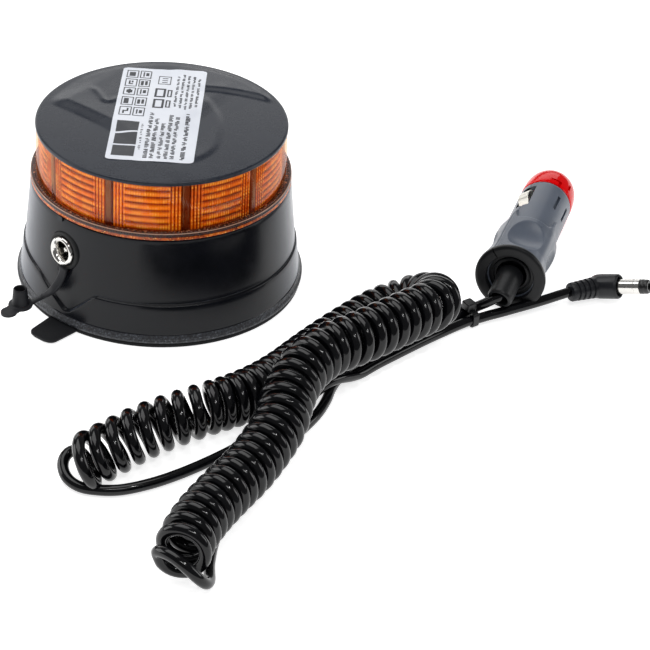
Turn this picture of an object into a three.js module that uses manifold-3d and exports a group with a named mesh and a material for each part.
// Rechargeable magnetic LED warning beacon with its coiled charging lead.
// Millimetres, +Z up. The origin is the centre of the underside of the beacon's rubber mat,
// on the resting plane. The lead lies on that plane, to the -Y and +X sides of the beacon.
// Azimuths (_AZ) are degrees anticlockwise from +X seen from above; _R ends a radius,
// _Z a height. Turned profiles are tables of [radius, z along the piece's own axis].

import * as THREE from 'three';
import { mergeVertices } from 'three/addons/utils/BufferGeometryUtils.js';
import Module from 'manifold-3d';

// ---------------------------------------------------------------- driving dimensions
const TURNED_SIDES = 40; // facets round the large turned parts
const MAT_R = 51.4;
const MAT_TOP_Z = 1.6;
const FLANGE_R = 51.9; // widest edge of the housing
const FLANGE_Z = 3.0;
const BAND_LOW_R = 50.6; // lower band of the housing
const BAND_LOW_Z = 4.8;
const BAND_TOP_R = 49.4;
const BAND_TOP_Z = 15.3;
const WALL_LOW_R = 48.8; // upper wall of the housing
const WALL_LOW_Z = 15.6;
const WALL_TOP_R = 46.5;
const WALL_TOP_Z = 40.6;
const SEGMENTS = 10; // LED segments
const SEGMENT_AZ = -92; // middle of the first one
const BUTTON_Y = 36; // mode button, off centre on the underside
const SCREW_PITCH_R = 41.8;
const SCREW_AZ = [45, 135, 225, 315];
const SOCKET = { azimuth: -130.1, radius: 47.6, z: 28.5, tilt: 5.2 };

// Finish of each mesh: [colour, roughness, metalness (0 where left out)].
const FINISHES = {
  base_mat: [0x202224, 0.85], base_plate: [0x26282b, 0.7], base_screw: [0x9a9da0, 0.35, 0.9],
  magnet: [0x3a3b3d, 0.6, 0.3], magnet_back_plate: [0x8f9295, 0.4, 0.8],
  mode_button: [0x333638, 0.8], tact_switch: [0x17181a, 0.6], switch_board: [0x1d5a36, 0.5],
  pull_tab: [0x232527, 0.8], base_housing: [0x1d1f22, 0.5],
  lens_gasket: [0x151515, 0.9], lens_ring: [0xf07810, 0.15],
  top_cap: [0x26292d, 0.45], rating_label: [0xf2f3f4, 0.5],
  led_heat_sink: [0xa9adb0, 0.4, 0.8], led_strip: [0xf4f4e8, 0.4],
  segment_optics: [0xffd9a0, 0.15], driver_board: [0x1d5a36, 0.5],
  battery_cell: [0x2c6fb5, 0.4], battery_tray: [0x2a2c2f, 0.7],
  battery_wires: [0xb02020, 0.6], switch_wires: [0x202020, 0.6], socket_wires: [0x9c1f1f, 0.6],
  socket_gasket: [0x141516, 0.85], socket_shell: [0xc9ccd0, 0.15, 1],
  socket_insulator: [0x101010, 0.6], socket_pin: [0xd0d2d4, 0.2, 1],
  socket_nut: [0xa5a8ab, 0.35, 0.9], plug_strap: [0x222426, 0.7], dust_plug: [0x1f2123, 0.7],
  plug_end_collar: [0x1b1c1e, 0.55], plug_shell_lower: [0x5f646c, 0.5],
  plug_shell_upper: [0x5f646c, 0.5], plug_nose_tube: [0xb9bcc0, 0.25, 1],
  centre_pin: [0xc2a25a, 0.3, 1], fuse: [0xcfd6d8, 0.2, 0.2], pin_spring: [0xb8bbbe, 0.3, 1],
  contact_carrier: [0x2b2d30, 0.6], side_contact_left: [0xc4c7ca, 0.2, 1],
  side_contact_right: [0xc4c7ca, 0.2, 1], red_adapter: [0xc01018, 0.12],
  cord_boot: [0x1a1b1c, 0.6], barrel_plug_body: [0x191a1c, 0.45],
  barrel_sleeve: [0xc9ccd0, 0.12, 1], barrel_tip: [0x151515, 0.5],
  coiled_cord: [0x121314, 0.25], cord_tail_barrel: [0x121314, 0.3],
  cord_tail_plug: [0x121314, 0.3], cord_tie: [0x101112, 0.6],
};

// ---------------------------------------------------------------- vectors and placing
const UP = new THREE.Vector3(0, 0, 1);
const radians = (degrees) => (degrees * Math.PI) / 180;
const vector = ([x, y, z]) => new THREE.Vector3(x, y, z);
const cross = (first, second) => new THREE.Vector3().crossVectors(first, second);
const aboutZ = (geometry, degrees) => geometry.rotateZ(radians(degrees));
const alongX = (geometry) => geometry.rotateY(Math.PI / 2);

// Sends the geometry's X, Y and Z axes to the three directions.
function reoriented(geometry, ...axes) {
  return geometry.applyMatrix4(new THREE.Matrix4().makeBasis(...axes.map(vector)));
}

function tangentAt(points, i) {
  const next = points[Math.min(i + 1, points.length - 1)];
  return new THREE.Vector3().subVectors(next, points[Math.max(i - 1, 0)]).normalize();
}

// Squares the previous normal to the tangent; with none to carry on, starts one upwards.
function carriedNormal(previous, tangent) {
  if (!previous) return cross(cross(tangent, UP), tangent).normalize();
  return previous.clone().addScaledVector(tangent, -previous.dot(tangent)).normalize();
}

const group = new THREE.Group();

// Numbered pieces share the finish of their unnumbered name.
function add(name, geometry, parent = group) {
  const [color, roughness, metalness = 0] = FINISHES[name.replace(/_\d$/, '')];
  const material = new THREE.MeshStandardMaterial({ color, roughness, metalness });
  const mesh = new THREE.Mesh(geometry, material);
  mesh.name = name;
  parent.add(mesh);
}

function addGroup(parent = group) {
  const child = new THREE.Group();
  parent.add(child);
  return child;
}

// ---------------------------------------------------------------- solids
const wasm = await Module();
wasm.setup();

function manifoldOf(coordinates, triangles) {
  return new wasm.Manifold(new wasm.Mesh({
    numProp: 3,
    vertProperties: Float32Array.from(coordinates),
    triVerts: Uint32Array.from(triangles),
  }));
}

// Welds the vertices, drops collapsed triangles and keeps only the vertices still in use.
function solid(geometry) {
  const bare = geometry.clone();
  bare.deleteAttribute('normal');
  bare.deleteAttribute('uv');
  const merged = mergeVertices(bare, 1e-4);
  const { position } = merged.attributes;
  const index = merged.index.array;
  const kept = [];
  for (let i = 0; i < index.length; i += 3) {
    const corners = [...index.slice(i, i + 3)];
    if (new Set(corners).size === 3) kept.push(...corners);
  }
  const renumbered = new Map();
  const coordinates = [];
  const triangles = kept.map((i) => {
    if (!renumbered.has(i)) {
      renumbered.set(i, renumbered.size);
      coordinates.push(position.getX(i), position.getY(i), position.getZ(i));
    }
    return renumbered.get(i);
  });
  return manifoldOf(coordinates, triangles);
}

function indexedGeometry(coordinates, triangles) {
  const geometry = new THREE.BufferGeometry();
  const position = new THREE.BufferAttribute(new Float32Array(coordinates), 3);
  geometry.setAttribute('position', position);
  geometry.setIndex(new THREE.BufferAttribute(new Uint32Array(triangles), 1));
  geometry.computeVertexNormals();
  return geometry;
}

function geometryOf(manifold) {
  const mesh = manifold.getMesh();
  return indexedGeometry(mesh.vertProperties, mesh.triVerts);
}

const plus = (body, parts) => parts.reduce((sum, part) => sum.add(solid(part)), body);
const minus = (body, parts) => parts.reduce((left, part) => left.subtract(solid(part)), body);
const join = (first, ...rest) => geometryOf(plus(solid(first), rest));
const cut = (first, ...rest) => geometryOf(minus(solid(first), rest));
const keep = (first, second) => geometryOf(solid(first).intersect(solid(second)));

// ---------------------------------------------------------------- shapes
// A turned piece about Z, its profile anticlockwise from axis to axis.
function turned(profile, sides = TURNED_SIDES) {
  const points = profile.map(([radius, z]) => new THREE.Vector2(radius, z));
  return new THREE.LatheGeometry(points, sides).rotateX(Math.PI / 2);
}

// A turned ring about Z, its profile closing on itself.
function ring(profile, sides) {
  return turned([...profile, profile[0]], sides);
}

// A plain ring of rectangular section.
function collar(inner, outer, bottom, top, sides) {
  return ring([[inner, bottom], [outer, bottom], [outer, top], [inner, top]], sides);
}

function disc(radius, bottom, top, sides) {
  return turned([[0, bottom], [radius, bottom], [radius, top], [0, top]], sides);
}

function rod(radius, bottom, top, sides, x = 0, y = 0) {
  return new THREE.CylinderGeometry(radius, radius, top - bottom, sides)
    .rotateX(Math.PI / 2)
    .translate(x, y, (bottom + top) / 2);
}

// A box between two opposite corners.
function block(low, high) {
  const size = high.map((end, i) => end - low[i]);
  const middle = high.map((end, i) => (end + low[i]) / 2);
  return new THREE.BoxGeometry(...size).translate(...middle);
}

function prism(outline, bottom, top) {
  const shape = new THREE.Shape(outline.map(([x, y]) => new THREE.Vector2(x, y)));
  const options = { depth: top - bottom, bevelEnabled: false, steps: 1 };
  return new THREE.ExtrudeGeometry(shape, options).translate(0, 0, bottom);
}

function circlePoints(radius, sides) {
  return Array.from({ length: sides }, (_, i) => {
    const angle = (2 * Math.PI * i) / sides;
    return new THREE.Vector2(radius * Math.cos(angle), radius * Math.sin(angle));
  });
}

// A rod, or a tube with a six-sided bore, along a smooth curve through the points.
function swept(points, { radius, sides, steps, bore = 0 }) {
  const shape = new THREE.Shape(circlePoints(radius, sides));
  if (bore > 0) shape.holes.push(new THREE.Path(circlePoints(bore, 6).reverse()));
  const extrudePath = new THREE.CatmullRomCurve3(points.map(vector));
  return new THREE.ExtrudeGeometry(shape, { steps, bevelEnabled: false, extrudePath });
}

function wire(points, radius) {
  return swept(points, { radius, sides: 6, steps: 8 });
}

// Points of a quarter circle that starts at the given angle.
function quarterArc(x, y, radius, start, steps) {
  return Array.from({ length: steps + 1 }, (_, i) => {
    const angle = radians(start + (90 * i) / steps);
    return [x + radius * Math.cos(angle), y + radius * Math.sin(angle)];
  });
}

// ---------------------------------------------------------------- base plate and mat
const PLATE_BOTTOM = 1.9;
const PLATE_TOP = 4.4;
const PLATE_R = 48.3;
const LIP_INNER_R = 24.9; // upright lip round the magnet
const LIP_OUTER_R = 26.2;
const LIP_TOP = 8.6;
const SCREW_HOLE_R = 1.9;
const SCREW_HEAD_R = 2.8;
const SCREW_SHANK_R = 1.4;
const SCREW_PLACES = SCREW_AZ.map((azimuth) => [
  SCREW_PITCH_R * Math.cos(radians(azimuth)), SCREW_PITCH_R * Math.sin(radians(azimuth)),
]);

add('base_mat', cut(disc(MAT_R, 0, MAT_TOP_Z), rod(5.6, -1, 3, 12, 0, BUTTON_Y)));

function basePlate() {
  const blank = turned([
    [0, PLATE_BOTTOM], [PLATE_R, PLATE_BOTTOM], [PLATE_R, PLATE_TOP],
    [LIP_OUTER_R, PLATE_TOP], [LIP_OUTER_R, LIP_TOP],
    [LIP_INNER_R, LIP_TOP], [LIP_INNER_R, PLATE_TOP], [0, PLATE_TOP],
  ], 28);
  const buttonHole = rod(5.3, 0, 6, 12, 0, BUTTON_Y);
  const screwHoles = SCREW_PLACES.flatMap(([x, y]) => [
    rod(3.2, 1, 3.4, 8, x, y), // for the head
    rod(SCREW_HOLE_R, 3, 6, 6, x, y),
  ]);
  const switchPosts = [-8.5, 8.5].map((x) => rod(1.5, 4.2, 9.8, 6, x, BUTTON_Y));
  return join(cut(blank, buttonHole, ...screwHoles), ...switchPosts);
}
add('base_plate', basePlate());

SCREW_PLACES.forEach(([x, y], i) => {
  const screw = turned([
    [0, 1.95], [SCREW_HEAD_R, 1.95], [SCREW_HEAD_R, 3.3],
    [SCREW_SHANK_R, 3.3], [SCREW_SHANK_R, 11.0], [0, 11.4],
  ], 8);
  add(`base_screw_${i + 1}`, screw.translate(x, y, 0));
});

add('magnet', collar(8.0, 24.4, 4.75, 11.6, 20));
add('magnet_back_plate', disc(25.4, 11.9, 13.0, 24));

// ---------------------------------------------------------------- mode button and switch
const SWITCH_BOTTOM = 8.6;
const SWITCH_HALF_WIDTH = 3;

function modeButton() {
  return turned([
    [0, 0.6], [4.7, 0.6], [4.7, 4.7], [6.6, 4.7], [6.6, 5.5], [2.2, 5.5], [2.2, 5.9], [0, 5.9],
  ], 12).translate(0, BUTTON_Y, 0);
}
add('mode_button', modeButton());

function tactSwitch() {
  const body = block(
    [-SWITCH_HALF_WIDTH, BUTTON_Y - SWITCH_HALF_WIDTH, SWITCH_BOTTOM],
    [SWITCH_HALF_WIDTH, BUTTON_Y + SWITCH_HALF_WIDTH, 9.8],
  );
  return join(body, rod(1.7, 7.1, SWITCH_BOTTOM + 0.1, 8, 0, BUTTON_Y));
}
add('tact_switch', tactSwitch());
add('switch_board', block([-10.5, BUTTON_Y - 4, 10.05], [10.5, BUTTON_Y + 4, 11.25]));

// ---------------------------------------------------------------- pull tab
const TAB_AZ = -126.6;
const TAB_ROOT_R = 52.3;
const TAB_END_R = 63.5;
const TAB_ROOT_HALF = 12.8 / 2; // half width at the root
const TAB_END_HALF = TAB_ROOT_HALF - 0.9;
const TAB_CORNER_R = 2.6;

// A rounded tongue, just outside the rim of the mat, that narrows outwards.
function pullTab() {
  const cornerX = TAB_END_R - TAB_CORNER_R;
  const cornerY = TAB_END_HALF - TAB_CORNER_R;
  return prism([
    [TAB_ROOT_R, -TAB_ROOT_HALF],
    ...quarterArc(cornerX, -cornerY, TAB_CORNER_R, -90, 4),
    ...quarterArc(cornerX, cornerY, TAB_CORNER_R, 0, 4),
    [TAB_ROOT_R, TAB_ROOT_HALF],
  ], 0.3, 1.5);
}
const tabFrame = addGroup();
tabFrame.rotation.z = radians(TAB_AZ);
add('pull_tab', pullTab(), tabFrame);

// ---------------------------------------------------------------- housing
const NOTCH_AZ = -127.5;
const NOTCH_BOTTOM = 4.9;
const NOTCH_TOP = 17;
const NOTCH_OUTER_R = 58; // clear of the band
// [across, z] of the V, seen from outside.
const NOTCH = [
  [-9.6, NOTCH_TOP], [-9.6, 12.2], [-7.0, 10.9], [1.0, 5.0], [3.4, 6.0], [11.4, 16.1],
  [11.4, NOTCH_TOP],
];

// The lower band stands proud of the upper wall. Under the socket a V of it is cut back
// to the line of the wall, and a hair deeper.
function bandNotch() {
  const slope = (WALL_LOW_R - WALL_TOP_R) / (WALL_TOP_Z - WALL_LOW_Z);
  const floorAt = (z) => WALL_LOW_R + (WALL_LOW_Z - z) * slope - 0.03;
  const band = ring([
    [floorAt(NOTCH_BOTTOM), NOTCH_BOTTOM], [NOTCH_OUTER_R, NOTCH_BOTTOM],
    [NOTCH_OUTER_R, NOTCH_TOP], [floorAt(NOTCH_TOP), NOTCH_TOP],
  ]);
  const vee = reoriented(prism(NOTCH, 40, 60), [0, 1, 0], [0, 0, 1], [1, 0, 0]);
  return keep(band, aboutZ(vee, NOTCH_AZ));
}

// A hole on the socket's axis.
function socketHole(radius, inner, sides) {
  const hole = alongX(rod(radius, inner, 6, sides))
    .rotateY(-radians(SOCKET.tilt))
    .translate(SOCKET.radius, 0, SOCKET.z);
  return aboutZ(hole, SOCKET.azimuth);
}

function baseHousing() {
  const shell = ring([
    [48.7, 1.8], [FLANGE_R, 1.8], [FLANGE_R, FLANGE_Z], [BAND_LOW_R, BAND_LOW_Z],
    [BAND_TOP_R, BAND_TOP_Z], [WALL_LOW_R, WALL_LOW_Z], [WALL_TOP_R, WALL_TOP_Z],
    [45.2, WALL_TOP_Z], [45.2, 39.5], [42.9, 39.5], [42.9, 38.2], [44.4, 36.4],
    [46.4, 15.6], [47.2, 14.6], [47.2, 4.7], [48.7, 4.7],
  ]);
  // Each screw boss has a web out to the wall.
  const bosses = SCREW_PLACES.flatMap(([x, y], i) => [
    rod(3.6, 4.9, 12.8, 6, x, y),
    aboutZ(block([SCREW_PITCH_R, -1.6, 4.9], [47.8, 1.6, 12.2]), SCREW_AZ[i]),
  ]);
  const bossHoles = SCREW_PLACES.map(([x, y]) => rod(SCREW_HOLE_R, 4, 12.0, 6, x, y));
  return geometryOf(minus(plus(solid(shell), bosses), [
    ...bossHoles,
    bandNotch(),
    socketHole(5.7, -12, 14),
    socketHole(7.2, -1.0, 16),
  ]));
}
add('base_housing', baseHousing());

// ---------------------------------------------------------------- lens, gasket, cap, label
const LENS_BOTTOM = 40.9;
const LENS_FLANGE_TOP = 43.4;
const LENS_TOP = 60.8;
const LENS_INNER_R = 42.2;
const CAP_R = 44.64;
const CAP_BOTTOM = 61.0;
const CAP_TOP = 62.85;
const CAP_CHAMFER = 0.6;
const LABEL = { left: -17.2, right: 13.3, front: -30.3, back: 37.1, corner: 1.2 };

function lensRing() {
  return ring([
    [LENS_INNER_R, LENS_BOTTOM], [WALL_TOP_R, LENS_BOTTOM], [WALL_TOP_R, LENS_FLANGE_TOP],
    [44.3, LENS_FLANGE_TOP + 0.2], [44.0, LENS_TOP], [LENS_INNER_R, LENS_TOP],
  ]);
}

// A disc with a thin skirt that hangs inside the lens.
function topCap() {
  return turned([
    [0, CAP_BOTTOM], [40.3, CAP_BOTTOM], [40.3, 58.9], [41.8, 58.9], [41.8, CAP_BOTTOM],
    [CAP_R, CAP_BOTTOM], [CAP_R, CAP_TOP - CAP_CHAMFER], [CAP_R - CAP_CHAMFER, CAP_TOP],
    [0, CAP_TOP],
  ]);
}

function ratingLabel() {
  const { left, right, front, back, corner } = LABEL;
  const centres = [
    [right - corner, back - corner], [left + corner, back - corner],
    [left + corner, front + corner], [right - corner, front + corner],
  ];
  const outline = centres.flatMap(([x, y], i) => quarterArc(x, y, corner, 90 * i, 3));
  return prism(outline, CAP_TOP + 0.05, CAP_TOP + 0.2);
}
add('lens_gasket', collar(43.2, 44.9, 39.7, 40.75, 24));
add('lens_ring', lensRing());
add('top_cap', topCap());
add('rating_label', ratingLabel());

// ---------------------------------------------------------------- light source
const HALF_SEGMENT = 180 / SEGMENTS; // degrees
const SINK_BOTTOM = 38.7;
const SINK_FLOOR = 40.0;
const SINK_R = 29.4;
const SINK_BORE_R = 27.6;
const STRIP_R = 31.3; // over the corners
const OPTICS_BOTTOM = 42.0;
const OPTICS_TOP = 58.5;

const segmentAz = (i) => SEGMENT_AZ + i * 2 * HALF_SEGMENT;
// Puts the flats of a ten-sided turned piece on the segments.
const onSegments = (geometry) => aboutZ(geometry, SEGMENT_AZ + HALF_SEGMENT + 90);

function heatSink() {
  return onSegments(turned([
    [0, SINK_BOTTOM], [32, SINK_BOTTOM], [32, SINK_FLOOR], [SINK_R, SINK_FLOOR],
    [SINK_R, 59.6], [SINK_BORE_R, 59.6], [SINK_BORE_R, SINK_FLOOR], [0, SINK_FLOOR],
  ], SEGMENTS));
}

// Three LEDs side by side on each flat.
function ledStrip() {
  const flat = STRIP_R * Math.cos(radians(HALF_SEGMENT));
  const leds = [];
  for (let i = 0; i < SEGMENTS; i += 1) {
    for (const y of [-5.8, 0, 5.8]) {
      const led = block([flat - 0.4, y - 1.7, 48.8], [flat + 1.1, y + 1.7, 52.2]);
      leds.push(aboutZ(led, segmentAz(i)));
    }
  }
  return join(onSegments(collar(29.9, STRIP_R, 42.4, 58.6, SEGMENTS)), ...leds);
}

// A ten-sided ring with a radial fin at each corner.
function segmentOptics() {
  const fins = Array.from({ length: SEGMENTS }, (_, i) => {
    const fin = block([36.5, -0.8, OPTICS_BOTTOM], [41.5, 0.8, OPTICS_TOP]);
    return aboutZ(fin, segmentAz(i) + HALF_SEGMENT);
  });
  return join(onSegments(collar(34.6, 39.6, OPTICS_BOTTOM, OPTICS_TOP, SEGMENTS)), ...fins);
}
add('led_heat_sink', heatSink());
add('led_strip', ledStrip());
add('segment_optics', segmentOptics());

// ---------------------------------------------------------------- electronics and cells
const BOARD_BOTTOM = 34.6;
const BOARD_TOP = 36.2;
const PART_BOTTOM = BOARD_TOP - 0.2; // components overlap the board
const WIRE_END_Z = 34.0;
const CELL_R = 9.2;
const CELL_LENGTH = 65;
const CELL_SHOULDER = CELL_LENGTH - 0.9;
const TERMINAL_R = 2.9;
const CELL_Z = 24.4;
const CELL_X = [1.5, 20.8];

function driverBoard() {
  return join(
    disc(41.5, BOARD_BOTTOM, BOARD_TOP, 24),
    block([-30, -8, PART_BOTTOM], [-20, 4, 37.9]),
    block([14, -30, PART_BOTTOM], [22, -20, 37.6]),
    block([-6, 24, PART_BOTTOM], [6, 34, 37.8]),
  );
}

// A cell lying along Y, its raised terminal towards +Y.
function batteryCell(x) {
  return turned([
    [0, 0], [CELL_R, 0], [CELL_R, CELL_SHOULDER],
    [TERMINAL_R, CELL_SHOULDER], [TERMINAL_R, CELL_LENGTH], [0, CELL_LENGTH],
  ], 18).rotateX(-Math.PI / 2).translate(x, -CELL_LENGTH / 2, CELL_Z);
}

function batteryTray() {
  const blank = keep(block([-9.2, -34.6, 13.4], [31.5, 34.6, 21.5]), rod(45.2, 13, 23, 32));
  const pockets = CELL_X.map((x) => rod(CELL_R + 0.35, -33.0, 33.0, 18)
    .rotateX(Math.PI / 2)
    .translate(x, 0, CELL_Z));
  return cut(blank, ...pockets);
}
add('driver_board', driverBoard());
CELL_X.forEach((x, i) => add(`battery_cell_${i + 1}`, batteryCell(x)));
add('battery_tray', batteryTray());
add('battery_wires', wire([
  [-8.6, -29, 23.5], [-12, -28, 25], [-15, -25, 28.5], [-15.5, -22, WIRE_END_Z],
], 1.0));
add('switch_wires', wire([
  [-9, 36, 12.6], [-12, 36, 17], [-16, 33, 24], [-17, 30, WIRE_END_Z],
], 0.8));

// ---------------------------------------------------------------- charging socket
// The inner group's +X points outwards along the socket's axis.
function socketFrame() {
  const turn = addGroup();
  turn.rotation.z = radians(SOCKET.azimuth);
  const place = addGroup(turn);
  place.position.set(SOCKET.radius, 0, SOCKET.z);
  place.rotation.y = -radians(SOCKET.tilt);
  return place;
}

function addSocket() {
  const frame = socketFrame();
  const shell = ring([
    [3.1, -11], [4.7, -11], [4.7, -0.3], [5.2, -0.3], [5.2, 1.4], [4.8, 1.8], [3.1, 1.8],
  ], 16);
  const pin = turned([[0, -7.9], [1.0, -7.9], [1.0, -0.9], [0.6, -0.4], [0, -0.4]], 8);
  const nut = cut(rod(7.4, -6.2, -4.0, 6), rod(5.1, -7, -3, 12));
  add('socket_gasket', alongX(collar(5.5, 6.8, -0.7, 0.7, 16)), frame);
  add('socket_shell', alongX(shell), frame);
  add('socket_insulator', alongX(disc(2.8, -10.6, -8.2, 16)), frame);
  add('socket_pin', alongX(pin), frame);
  add('socket_nut', alongX(nut), frame);
}
addSocket();
add('socket_wires', wire([
  [-22.6, -26.8, 27.8], [-21, -25, 28.4], [-20, -23.5, 31], [-20, -23.5, WIRE_END_Z],
], 1.0));

// ---------------------------------------------------------------- dust plug and its strap
// The strap hangs from under the socket, turns away from the wall and carries the plug,
// open end up.
const STRAP_WIDTH = 3.2;
const STRAP_THICKNESS = 1.3;
const ALONG_WALL = [0.77, -0.63, 0.0];
// [centre, direction of the width]
const STRAP = [
  [[-30.5, -39.3, 22.2], ALONG_WALL], [[-31.6, -38.9, 18.6], ALONG_WALL],
  [[-33.2, -38.6, 15.2], ALONG_WALL], [[-35.4, -38.0, 12.2], [0.55, -0.8, 0.1]],
  [[-38.4, -38.0, 9.8], [0.1, -1, 0.1]], [[-41.4, -39.0, 8.3], [0, -1, 0.1]],
];
const PLUG_TAB = [
  [-1.5, -3.1], [0.6, -3.1], [1.4, -6.4], [0.5, -8.6], [-1.5, -9.4], [-3.6, -8.4], [-4.1, -6.4],
];
const PLUG_TAB_SCALE_X = 0.9;
const PLUG_TAB_SHIFT_X = -1.2;

// A rectangular section carried along the strap's stations.
function plugStrap() {
  const centres = STRAP.map(([centre]) => vector(centre));
  const coordinates = [];
  const triangles = [];
  STRAP.forEach(([, across], i) => {
    const tangent = tangentAt(centres, i);
    const width = carriedNormal(vector(across).normalize(), tangent);
    const depth = cross(tangent, width).normalize();
    for (const [side, face] of [[-1, -1], [1, -1], [1, 1], [-1, 1]]) {
      coordinates.push(...centres[i].clone()
        .addScaledVector(width, (side * STRAP_WIDTH) / 2)
        .addScaledVector(depth, (face * STRAP_THICKNESS) / 2));
    }
  });
  const last = 4 * (STRAP.length - 1);
  for (let start = 0; start < last; start += 4) {
    for (let k = 0; k < 4; k += 1) {
      const near = start + k;
      const beside = start + ((k + 1) % 4);
      triangles.push(near, beside, beside + 4, near, beside + 4, near + 4);
    }
  }
  triangles.push(0, 2, 1, 0, 3, 2);
  triangles.push(last, last + 1, last + 2, last, last + 2, last + 3);
  return indexedGeometry(coordinates, triangles);
}

function dustPlug() {
  const cup = cut(
    turned([[0, 0], [3.7, 0], [3.5, 0.9], [3.05, 1.4], [2.45, 7.2], [0, 7.2]], 14),
    turned([[0, 2.2], [1.5, 2.2], [1.75, 8], [0, 8]], 8),
  );
  const outline = PLUG_TAB.map(([x, y]) => [x * PLUG_TAB_SCALE_X + PLUG_TAB_SHIFT_X, y]);
  return join(cup, aboutZ(prism(outline, -0.1, 1.0), -24));
}
add('plug_strap', plugStrap());
const dustPlugFrame = addGroup();
dustPlugFrame.position.set(-45.5, -41.6, 7.9);
add('dust_plug', dustPlug(), dustPlugFrame);

// ---------------------------------------------------------------- vehicle socket plug
// Its group has its origin at the rear and +Z along the plug; the side contacts are on X.
const PLUG_REAR = [126.6, -13.6, 13.2];
const PLUG_TIP = [146.2, 60.4, 10.2];
const PLUG_ROLL = 55;
const SHELL_SPLIT = 0.15; // half the gap between the shells
const SPRING = { radius: 2.3, start: 25.6, length: 9.6, turns: 3, steps: 24 };
const CONTACT_THICKNESS = 0.55;
// [along the plug, distance from its axis] of a contact's outer face
const CONTACT = [
  [39.8, 7.4], [42.0, 7.9], [44.6, 10.2], [46.8, 11.3], [49.2, 11.3], [51.6, 9.9], [53.8, 7.6],
];

function vehiclePlugFrame() {
  const rear = vector(PLUG_REAR);
  const axis = vector(PLUG_TIP).sub(rear).normalize();
  const right = cross(axis, UP).normalize();
  const above = cross(right, axis).normalize();
  const roll = radians(PLUG_ROLL);
  const xAxis = right.multiplyScalar(Math.cos(roll)).addScaledVector(above, -Math.sin(roll));
  const frame = addGroup();
  frame.position.copy(rear);
  frame.setRotationFromMatrix(new THREE.Matrix4().makeBasis(xAxis, cross(axis, xAxis), axis));
  return frame;
}

function plugEndCollar() {
  return ring([
    [8.6, 0.4], [11.9, 0.0], [12.9, 1.0], [12.9, 2.3], [10.2, 2.3], [10.2, 5.7],
    [5.6, 5.7], [5.6, 3.2], [8.6, 3.2],
  ], 22);
}

// Grip and nose, hollow, with contact windows, four scooped flanks and four slits.
function plugShell() {
  const body = ring([
    [5.6, 6.0], [10.5, 6.0], [10.5, 2.6], [12.2, 2.6], [11.8, 8.0], [11.75, 20.0],
    [11.5, 27.0], [9.95, 29.6], [9.95, 59.9], [6.6, 59.9], [6.6, 58.2], [8.3, 58.2],
    [8.3, 8.5], [5.6, 8.5],
  ], 24);
  const windows = block([-14, -2.7, 41.0], [14, 2.7, 55.0]);
  // Scoops and slits are made on +Y, at 90 degrees.
  const scoops = [45, 135, 225, 315].map((angle) => aboutZ(
    new THREE.SphereGeometry(1, 18, 10).scale(20, 5, 11.8).translate(0, 14.35, 15.0),
    angle - 90,
  ));
  const slits = [74, 106, 254, 286].map(
    (angle) => aboutZ(block([-0.6, 8.9, 44.0], [0.6, 12.0, 54.0]), angle - 90),
  );
  return minus(solid(body), [windows, ...scoops, ...slits]);
}

function centrePin() {
  return turned([[0, 66.4], [3.9, 66.4], [3.9, 71.8], [2.6, 73.6], [1.6, 76.2], [0, 76.5]], 10);
}

function pinSpring() {
  const { radius, start, length, turns, steps } = SPRING;
  const points = Array.from({ length: steps + 1 }, (_, i) => {
    const angle = (2 * Math.PI * turns * i) / steps;
    return [radius * Math.cos(angle), radius * Math.sin(angle), start + (length * i) / steps];
  });
  return swept(points, { radius: 0.4, sides: 4, steps });
}

function contactCarrier() {
  return join(
    disc(7.9, 18, 20.4, 16),
    block([-7.4, -2.2, 20.2], [-5.2, 2.2, 39.4]),
    block([5.2, -2.2, 20.2], [7.4, 2.2, 39.4]),
  );
}

// A bent leaf on the -X (side -1) or +X (side 1) flank, its width along Y.
function sideContact(side) {
  const inner = CONTACT.map(([along, out]) => [along, out - CONTACT_THICKNESS]).reverse();
  const leaf = prism([...CONTACT, ...inner], -2.1, 2.1);
  return reoriented(leaf, [0, 0, 1], [side, 0, 0], [0, side, 0]);
}

function redAdapter() {
  return ring([
    [6.6, 60.3], [9.85, 60.3], [10.05, 63.0], [9.75, 69.0], [8.7, 72.8], [7.0, 75.3],
    [6.6, 75.3],
  ], 22);
}

function addVehiclePlug() {
  const frame = vehiclePlugFrame();
  const shell = plugShell();
  const lower = solid(block([-15, SHELL_SPLIT, 0], [15, 15, 70]));
  const upper = solid(block([-15, -15, 0], [15, -SHELL_SPLIT, 70]));
  add('plug_end_collar', plugEndCollar(), frame);
  add('plug_shell_lower', geometryOf(shell.intersect(lower)), frame);
  add('plug_shell_upper', geometryOf(shell.intersect(upper)), frame);
  add('plug_nose_tube', collar(4.3, 6.2, 58.6, 72.4, 16), frame);
  add('centre_pin', centrePin(), frame);
  add('fuse', disc(3.15, 36.0, 66.1, 12), frame);
  add('pin_spring', pinSpring(), frame);
  add('contact_carrier', contactCarrier(), frame);
  add('side_contact_left', sideContact(-1), frame);
  add('side_contact_right', sideContact(1), frame);
  add('red_adapter', redAdapter(), frame);
}
addVehiclePlug();
add('cord_boot', swept([
  [123.0, -22.0, 9.7], [124.6, -18.4, 11.3], [126.0, -14.9, 12.75], [126.9, -11.6, 13.05],
], { radius: 4.6, sides: 10, steps: 4, bore: 2.8 }));

// ---------------------------------------------------------------- barrel plug
const BARREL_BEND = [160.84, -1.59, 4.75]; // where the plug's two arms meet
const BARREL_FRONT = [0.8655, -0.399, 0.303]; // direction of the barrel
const BARREL_REAR = [-0.8831, -0.4681, 0.0301]; // direction of the cord's arm

// Points a piece made along +Z in the direction, from the bend.
function fromBend(geometry, direction) {
  const turn = new THREE.Quaternion().setFromUnitVectors(UP, vector(direction).normalize());
  return geometry.applyQuaternion(turn).translate(...BARREL_BEND);
}

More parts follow.
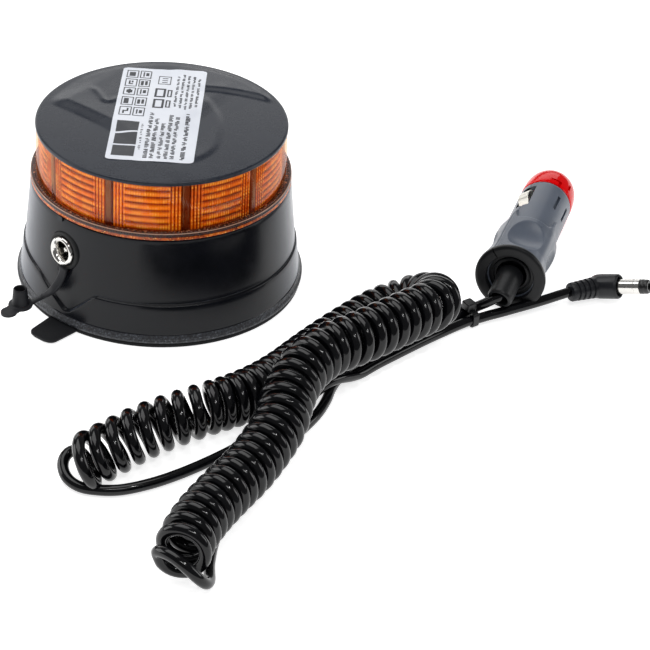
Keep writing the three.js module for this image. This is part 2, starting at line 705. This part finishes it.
function barrelPlugBody() {
  const head = turned([
    [0, -4.0], [2.2, -3.9], [3.9, -2.6], [4.55, -0.6], [4.55, 7.3], [4.2, 7.8], [0, 7.8],
  ], 14);
  const relief = turned([
    [0, -1], [3.95, -1], [3.95, 2.0], [3.35, 12.3], [3.0, 12.8], [0, 12.8],
  ], 12);
  const body = join(fromBend(head, BARREL_FRONT), fromBend(relief, BARREL_REAR));
  return cut(body, fromBend(rod(3.5, 5.6, 9, 12), BARREL_FRONT));
}

function barrelTip() {
  const profile = [[1.3, 16.4], [2.65, 16.4], [2.65, 18.9], [2.3, 19.4], [1.3, 19.4]];
  return fromBend(ring(profile, 12), BARREL_FRONT);
}
add('barrel_plug_body', barrelPlugBody());
add('barrel_sleeve', fromBend(collar(1.5, 2.75, 6.0, 16.1, 12), BARREL_FRONT));
add('barrel_tip', barrelTip());

// ---------------------------------------------------------------- coiled cord
const STRAND_R = 2.0;
const STRAND_SIDES = 6;
const STATIONS_PER_PIECE = 3;
const STATIONS_PER_TURN = 10;
const LOOP_SPACING = 2.6; // between stations of the loops at the coil's ends
const LINE_STEP = 0.2; // along the centre line
const LINE_LEAD = 5.026; // centre line before distance 0
const COIL_START = -3.5; // distance of the first station
const START_ANGLE = 0.95; // radians, at distance 0

// [x, y, z] of the coil's centre line, laid out in two legs side by side.
const COIL = [
  [-15.1, -135.3, 9.4], [-11.7, -131.6, 9.4], [-4.5, -123.8, 9.4], [4.3, -114.6, 9.4],
  [13.5, -107.0, 9.4], [22.8, -100.3, 9.4], [33.0, -93.4, 9.4], [41.4, -85.9, 9.4],
  [48.6, -77.3, 9.4], [55.6, -66.9, 9.4], [63.2, -56.0, 9.4], [71.2, -45.5, 9.4],
  [78.8, -36.3, 9.4], [86.4, -30.4, 9.9], [93.8, -29.7, 12.7], [99.1, -34.9, 16.7],
  [98.4, -44.2, 19.9], [91.9, -52.5, 21.3], [84.3, -60.9, 22.2], [73.6, -71.6, 22.8],
  [62.3, -81.8, 23.1], [54.9, -92.9, 22.1], [50.8, -105.4, 19.7], [48.8, -116.7, 17.3],
  [44.3, -128.2, 15.3], [39.6, -138.0, 14.0], [33.0, -149.7, 13.2], [27.0, -161.7, 12.6],
  [23.4, -172.0, 12.1], [21.7, -181.3, 11.6],
];
// [x, y, z] of the loops into and out of the coil.
const ENTRY = [
  [7.1, -133.15, 2.1], [-0.9, -136.6, 2.1], [-7.3, -137.3, 2.1], [-13.8, -136.3, 2.2],
  [-18.0, -133.5, 2.9], [-20.0, -129.8, 4.4], [-20.0, -126.9, 5.9], [-18.6, -124.9, 7.1],
  [-16.7, -124.7, 7.9],
];
const EXIT = [
  [19.4, -183.8, 14.2], [23.9, -186.4, 12.4], [27.6, -186.9, 8.8], [30.0, -185.2, 5.4],
  [30.9, -181.6, 3.6], [30.6, -177.0, 2.6], [30.2, -172.0, 2.1],
];

// Straight-line interpolation in rows of [distance along the centre line, value].
const interpolated = (rows) => (distance) => {
  if (distance <= rows[0][0]) return rows[0][1];
  for (let i = 1; i < rows.length; i += 1) {
    const [start, from] = rows[i - 1];
    const [end, to] = rows[i];
    if (distance <= end) return from + ((to - from) * (distance - start)) / (end - start);
  }
  return rows[rows.length - 1][1];
};
const pitchAt = interpolated([
  [0, 6.5], [42, 6.15], [49, 5.7], [53, 4.32], [101.44, 4.32], [109.44, 5.07], [150, 5.07],
  [175, 5.4], [250, 5.4], [268, 4.9], [312, 4.9], [331, 6.0],
]);
const turnRadiusAt = interpolated([[0, 7.6], [20, 7.4], [45, 7.13]]);
const leanAt = interpolated([ // degrees
  [0, 50], [7, 48], [14, 42], [21, 38], [28, 34], [40, 22], [52, 10], [65, 0],
]);

// The axis the turns lean about, square to the centre line.
function leanHinge(tangent) {
  const side = cross(tangent, UP).normalize();
  const leanWay = side.clone()
    .multiplyScalar(0.74)
    .addScaledVector(cross(side, tangent), 0.67)
    .normalize();
  return cross(tangent, leanWay).normalize();
}

// The strand winds left-handed about the centre line. Its first turns lean over.
function coilStations() {
  const line = new THREE.CatmullRomCurve3(COIL.map(vector));
  line.arcLengthDivisions = 4000;
  const length = line.getLength();
  const steps = Math.round(length / LINE_STEP);
  const centres = line.getSpacedPoints(steps);
  const stations = [];
  let normal = null;
  let angle = START_ANGLE + (LINE_LEAD * 2 * Math.PI) / pitchAt(0);
  let lastAngle = Infinity;
  for (let i = 0; i <= steps; i += 1) {
    const tangent = tangentAt(centres, i);
    const distance = (i * length) / steps - LINE_LEAD;
    normal = carriedNormal(normal, tangent);
    if (i > 0) angle -= (2 * Math.PI * LINE_STEP) / pitchAt(distance - LINE_STEP / 2);
    const turnedBy = Math.abs(angle - lastAngle);
    if (distance < COIL_START || turnedBy < (2 * Math.PI) / STATIONS_PER_TURN) continue;
    lastAngle = angle;
    const hinge = leanHinge(tangent);
    const lean = radians(leanAt(distance));
    const across = normal.clone().applyAxisAngle(hinge, lean);
    const beside = cross(tangent, normal).applyAxisAngle(hinge, lean);
    const radius = turnRadiusAt(distance);
    stations.push(centres[i].clone()
      .addScaledVector(across, radius * Math.cos(angle))
      .addScaledVector(beside, radius * Math.sin(angle)));
  }
  return stations;
}

function loopStations(points) {
  const curve = new THREE.CatmullRomCurve3(points);
  return curve.getSpacedPoints(Math.round(curve.getLength() / LOOP_SPACING));
}

// The strand's section at every station, as rings of points.
function strandRings(stations) {
  let normal = null;
  return stations.map((station, i) => {
    const tangent = tangentAt(stations, i);
    normal = carriedNormal(normal, tangent);
    const beside = cross(tangent, normal);
    return circlePoints(STRAND_R, STRAND_SIDES).map(({ x, y }) => station.clone()
      .addScaledVector(normal, x)
      .addScaledVector(beside, y));
  });
}

// A closed skin over consecutive rings.
function strandPiece(rings) {
  const triangles = [];
  const end = (rings.length - 1) * STRAND_SIDES;
  for (let start = 0; start < end; start += STRAND_SIDES) {
    for (let k = 0; k < STRAND_SIDES; k += 1) {
      const near = start + k;
      const beside = start + ((k + 1) % STRAND_SIDES);
      const opposite = beside + STRAND_SIDES;
      triangles.push(near, beside, opposite, near, opposite, near + STRAND_SIDES);
    }
  }
  for (let k = 1; k < STRAND_SIDES - 1; k += 1) {
    triangles.push(0, k + 1, k, end, end + k, end + k + 1);
  }
  return manifoldOf(rings.flat().flatMap(({ x, y, z }) => [x, y, z]), triangles);
}

// Made of short pieces, since the turns may touch one another.
function coiledCord() {
  const turns = coilStations();
  const entry = loopStations([...ENTRY.map(vector), turns[0]]);
  const exit = loopStations([turns[turns.length - 1], ...EXIT.map(vector)]);
  const rings = strandRings([...entry.slice(0, -1), ...turns, ...exit.slice(1)]);
  const pieces = [];
  for (let i = 0; i < rings.length - 1; i += STATIONS_PER_PIECE) {
    pieces.push(strandPiece(rings.slice(i, i + STATIONS_PER_PIECE + 1)));
  }
  // Turns that touch can close off a small pocket between them: only the outer skin is kept.
  const bodies = pieces.reduce((sum, piece) => sum.add(piece)).decompose();
  return geometryOf(bodies.reduce((best, body) => (body.volume() > best.volume() ? body : best)));
}
add('coiled_cord', coiledCord());

// ---------------------------------------------------------------- straight cords and tie
const TAIL = { radius: 1.85, sides: 5 };
// [x, y, z] from each plug to the coil.
const BARREL_TAIL = [
  [149.15, -7.8, 5.15], [147.4, -8.75, 5.2], [145.2, -10.2, 5.25], [142.3, -12.8, 5.5],
  [138.2, -17.8, 6.4], [134.4, -19.3, 5.6], [130.4, -20.0, 4.2], [126.0, -20.6, 3.0],
  [121.2, -21.9, 2.6], [117.2, -23.3, 2.7], [113.7, -25.4, 2.9], [109.5, -28.8, 2.4],
  [102.3, -34.7, 2.0], [95.2, -41.4, 2.0], [88.2, -48.4, 2.0], [79.8, -57.0, 2.0],
  [74.5, -63.0, 2.0], [70.9, -67.6, 3.6], [67.9, -71.2, 5.3], [64.6, -74.6, 6.1],
  [61.2, -78.0, 5.4], [57.0, -82.6, 3.3], [51.0, -90.4, 2.0], [39.2, -105.3, 2.0],
  [29.7, -115.4, 2.0], [17.4, -126.2, 2.0], [7.8, -132.8, 2.0],
];
const PLUG_TAIL = [
  [123.3, -21.2, 9.95], [122.5, -22.9, 9.1], [120.7, -23.9, 7.6], [118.0, -21.5, 7.1],
  [115.2, -20.25, 4.6], [111.4, -22.1, 3.05], [106.9, -25.8, 2.4], [99.6, -31.8, 2.0],
  [92.3, -38.5, 2.0], [85.3, -45.5, 2.0], [76.8, -54.3, 2.0], [71.4, -60.6, 2.0],
  [68.0, -65.4, 2.0], [66.0, -69.4, 2.0], [64.6, -74.0, 2.0], [63.4, -80.0, 2.0],
  [60.6, -88.5, 2.0], [55.5, -98.5, 2.0], [49.0, -110.0, 2.0], [42.0, -122.0, 2.0],
  [35.5, -139.0, 2.0], [31.0, -158.5, 2.0], [30.23, -171.7, 2.09],
];
add('cord_tail_barrel', swept(BARREL_TAIL, { ...TAIL, steps: 36 }));
add('cord_tail_plug', swept(PLUG_TAIL, { ...TAIL, steps: 34 }));

const tieFrame = addGroup();
tieFrame.position.set(112.55, -23.85, 0);
tieFrame.rotation.z = radians(37.3);
add('cord_tie', cut(
  block([-2.6, -4.9, 0.15], [2.6, 5.0, 6.7]),
  block([-4, -4.2, 0.7], [4, 4.4, 6.2]),
), tieFrame);

export default group;
